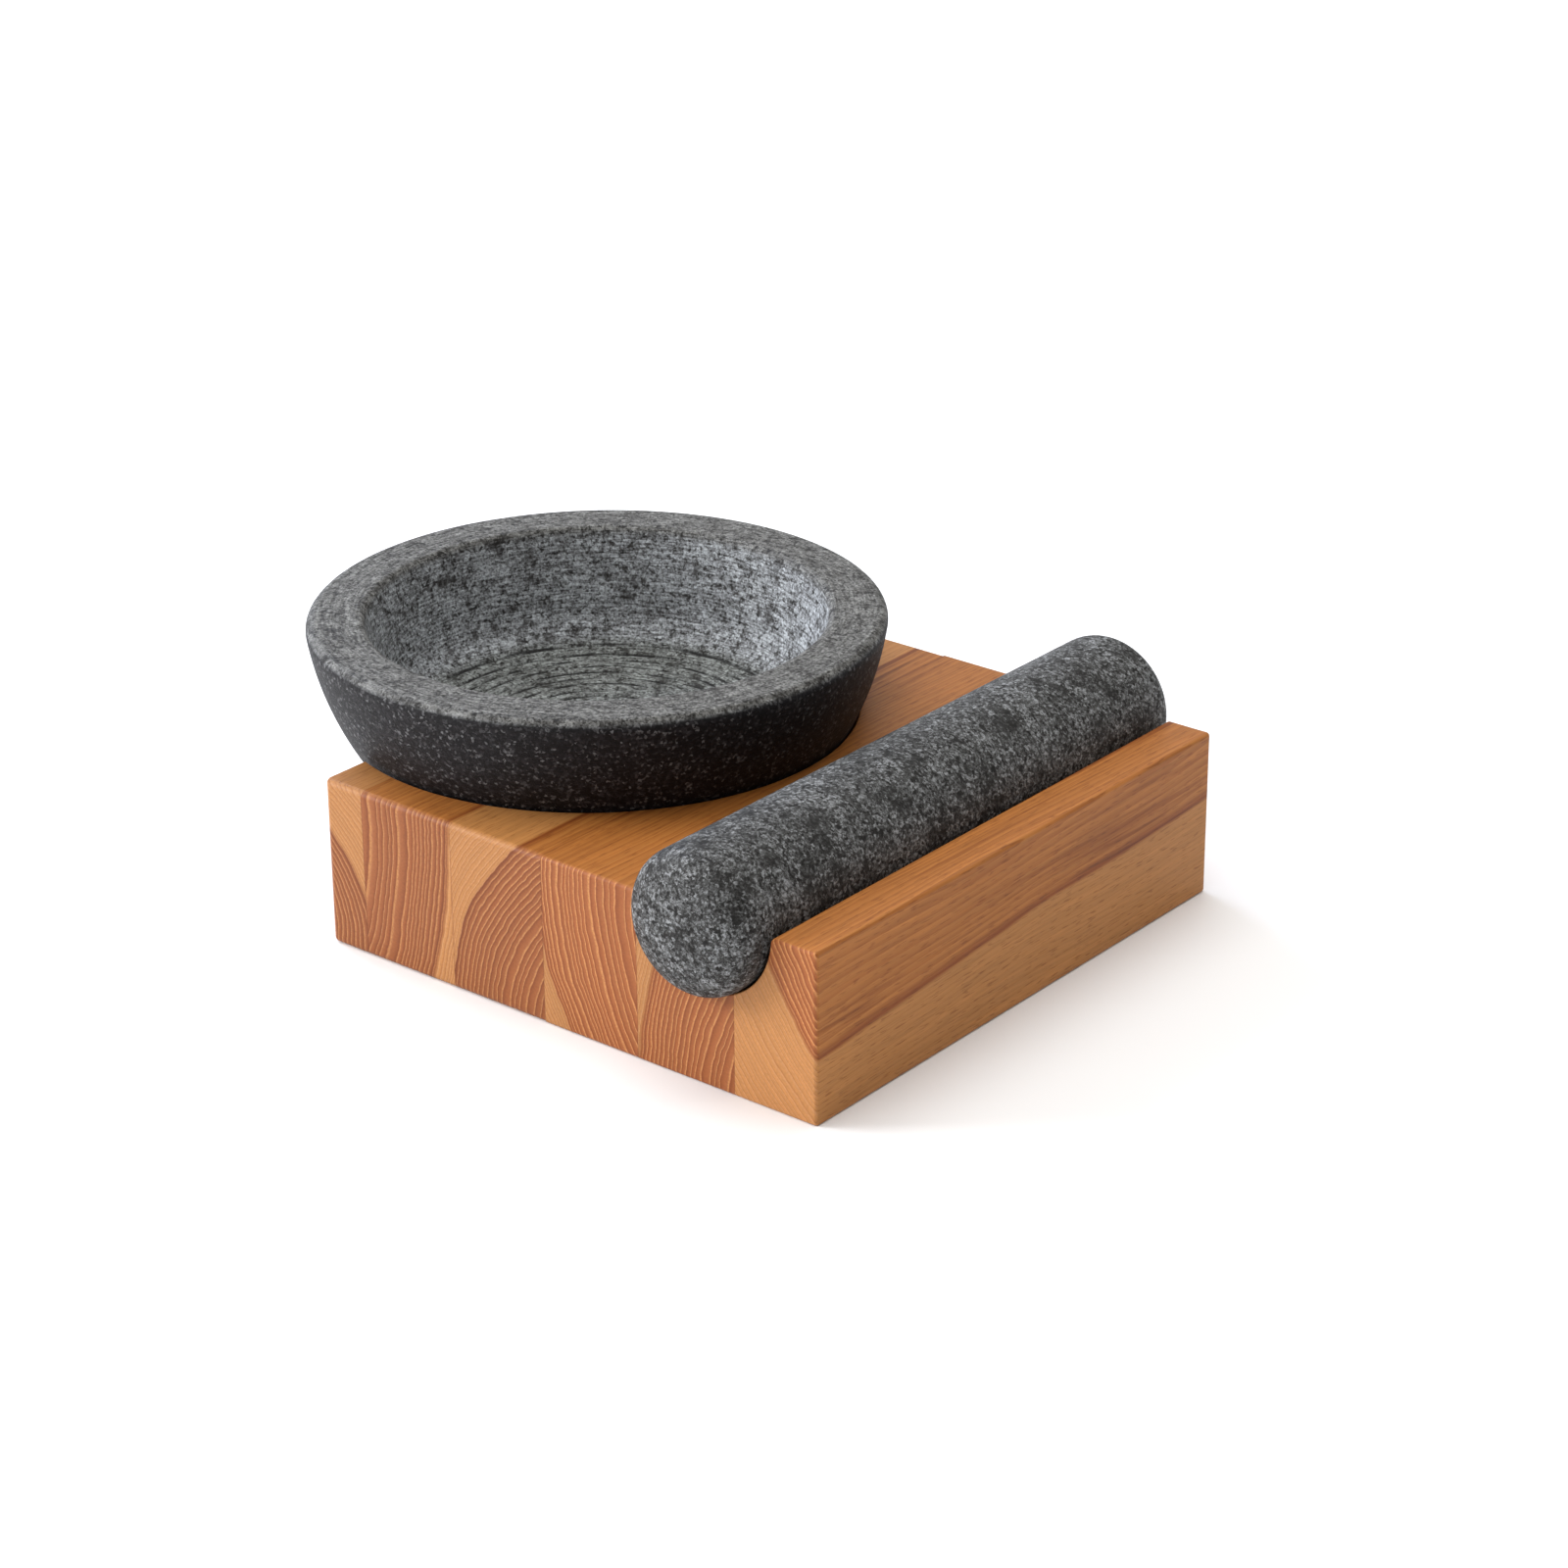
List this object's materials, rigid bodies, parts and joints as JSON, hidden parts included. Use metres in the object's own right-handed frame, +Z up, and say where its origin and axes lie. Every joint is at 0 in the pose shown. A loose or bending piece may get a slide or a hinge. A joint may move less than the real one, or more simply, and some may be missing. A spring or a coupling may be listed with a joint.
{
  "type": "molcajete",
  "caption": "Low round stone grinding bowl, set in a recess of a glued hardwood block and reaching past its side, with a cylindrical stone pestle in a half-round groove.",
  "frame": {"origin": "centre of the wooden block's underside, in the plane that rests on the table", "axes": "+Z up through the deck; Y along the grain and the pestle, with the pestle's long end at -Y; +X across the staves, from the bowl's side towards the groove"},
  "size_m": [0.28, 0.24, 0.096],
  "materials": {
    "wood_pale": "oiled hardwood, planed and sanded",
    "wood_red": "oiled hardwood, planed and sanded",
    "bowl_stone": "turned and honed dark basalt, lighter where ground",
    "pestle_stone": "ground grey basalt"
  },
  "bodies": {
    "block": {"stave_1": "wood_pale", "stave_2": "wood_red", "stave_3": "wood_pale", "stave_4": "wood_red", "stave_5": "wood_pale", "stave_6": "wood_red"},
    "bowl": {"bowl": "bowl_stone"},
    "pestle": {"pestle": "pestle_stone"}
  },
  "joints": [
    {"name": "bowl_lift", "type": "slide", "parent": "block", "child": "bowl", "axis": [0, 0, 1], "range_m": [0, 0.12]},
    {"name": "pestle_lift", "type": "slide", "parent": "block", "child": "pestle", "axis": [0, 0, 1], "range_m": [0, 0.12]}
  ]
}
